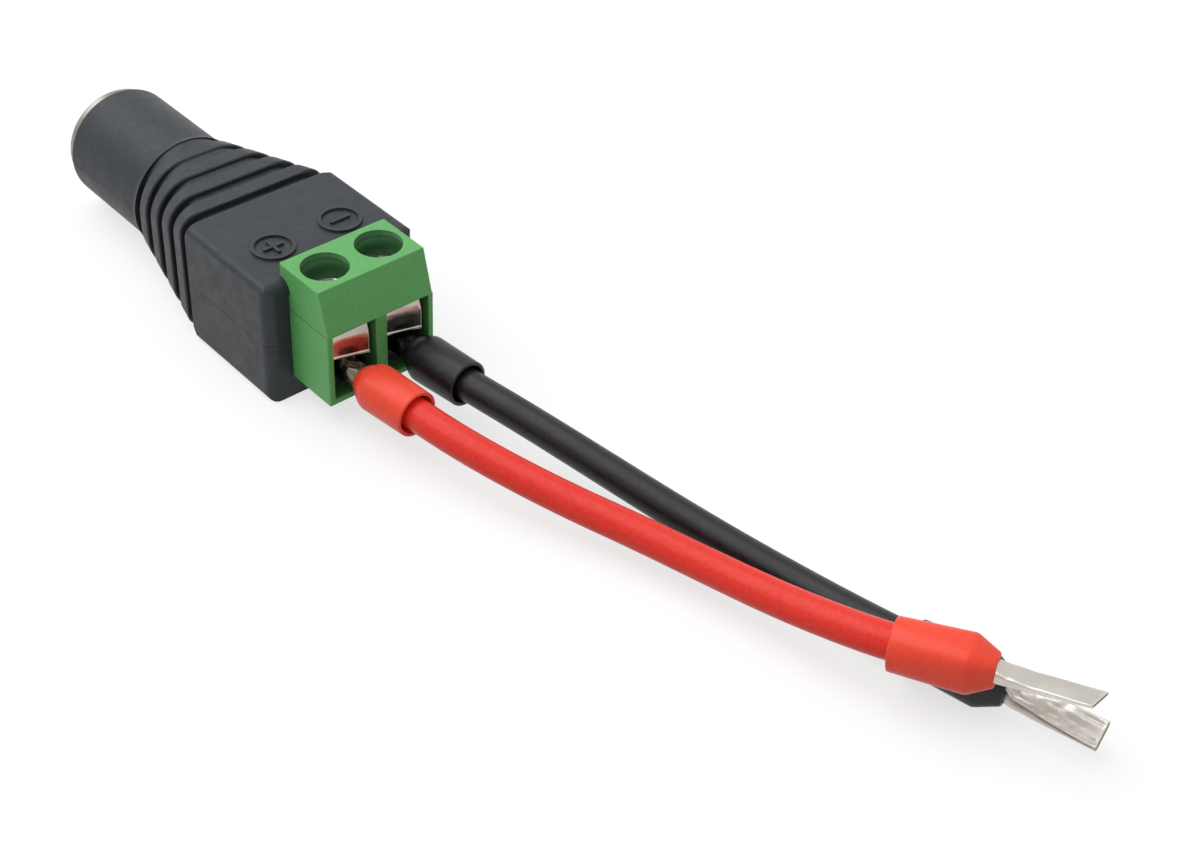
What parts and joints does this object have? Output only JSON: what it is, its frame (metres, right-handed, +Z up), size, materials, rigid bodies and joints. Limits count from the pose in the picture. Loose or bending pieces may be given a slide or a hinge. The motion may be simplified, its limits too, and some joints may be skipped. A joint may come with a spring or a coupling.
{
  "type": "dc barrel connector",
  "caption": "Female dc barrel jack in a ribbed black body with a green screw terminal, wired with a red and a black lead that end in insulated crimp ferrules.",
  "frame": {"origin": "middle of the connector's length and width, on the plane of the box's flat underside", "axes": "+X from the jack's mouth to the wires, +Y to the side of the minus clamp, +Z up from the flat underside"},
  "size_m": [0.0973, 0.0221, 0.012],
  "materials": {
    "black_body": "fine moulded texture",
    "plated_sleeve": "satin nickel plate",
    "black_insulator": "moulded",
    "green_housing": "moulded, slightly translucent",
    "plated_clamp": "bright nickel plate",
    "screw_steel": "zinc plate",
    "tinned_copper": "tin plate",
    "red_insulation": "satin vinyl",
    "black_insulation": "satin vinyl",
    "red_collar": "glossy, slightly translucent",
    "black_collar": "glossy"
  },
  "bodies": {
    "root": {"upper_shell": "black_body", "lower_shell": "black_body", "jack_sleeve": "plated_sleeve", "jack_insulator": "black_insulator", "centre_pin": "plated_sleeve", "sleeve_contact": "plated_sleeve", "terminal_housing": "green_housing", "plus_clamp_frame": "plated_clamp", "minus_clamp_frame": "plated_clamp", "plus_clamp_leaf": "plated_clamp", "minus_clamp_leaf": "plated_clamp", "plus_clamp_screw": "screw_steel", "minus_clamp_screw": "screw_steel", "plus_link": "tinned_copper", "minus_link": "tinned_copper", "red_lead": "red_insulation", "black_lead": "black_insulation", "red_terminal_collar": "red_collar", "black_terminal_collar": "black_collar", "red_free_collar": "red_collar", "black_free_collar": "black_collar", "red_terminal_pin": "tinned_copper", "black_terminal_pin": "tinned_copper", "red_free_pin": "tinned_copper", "black_free_pin": "tinned_copper"}
  },
  "joints": []
}
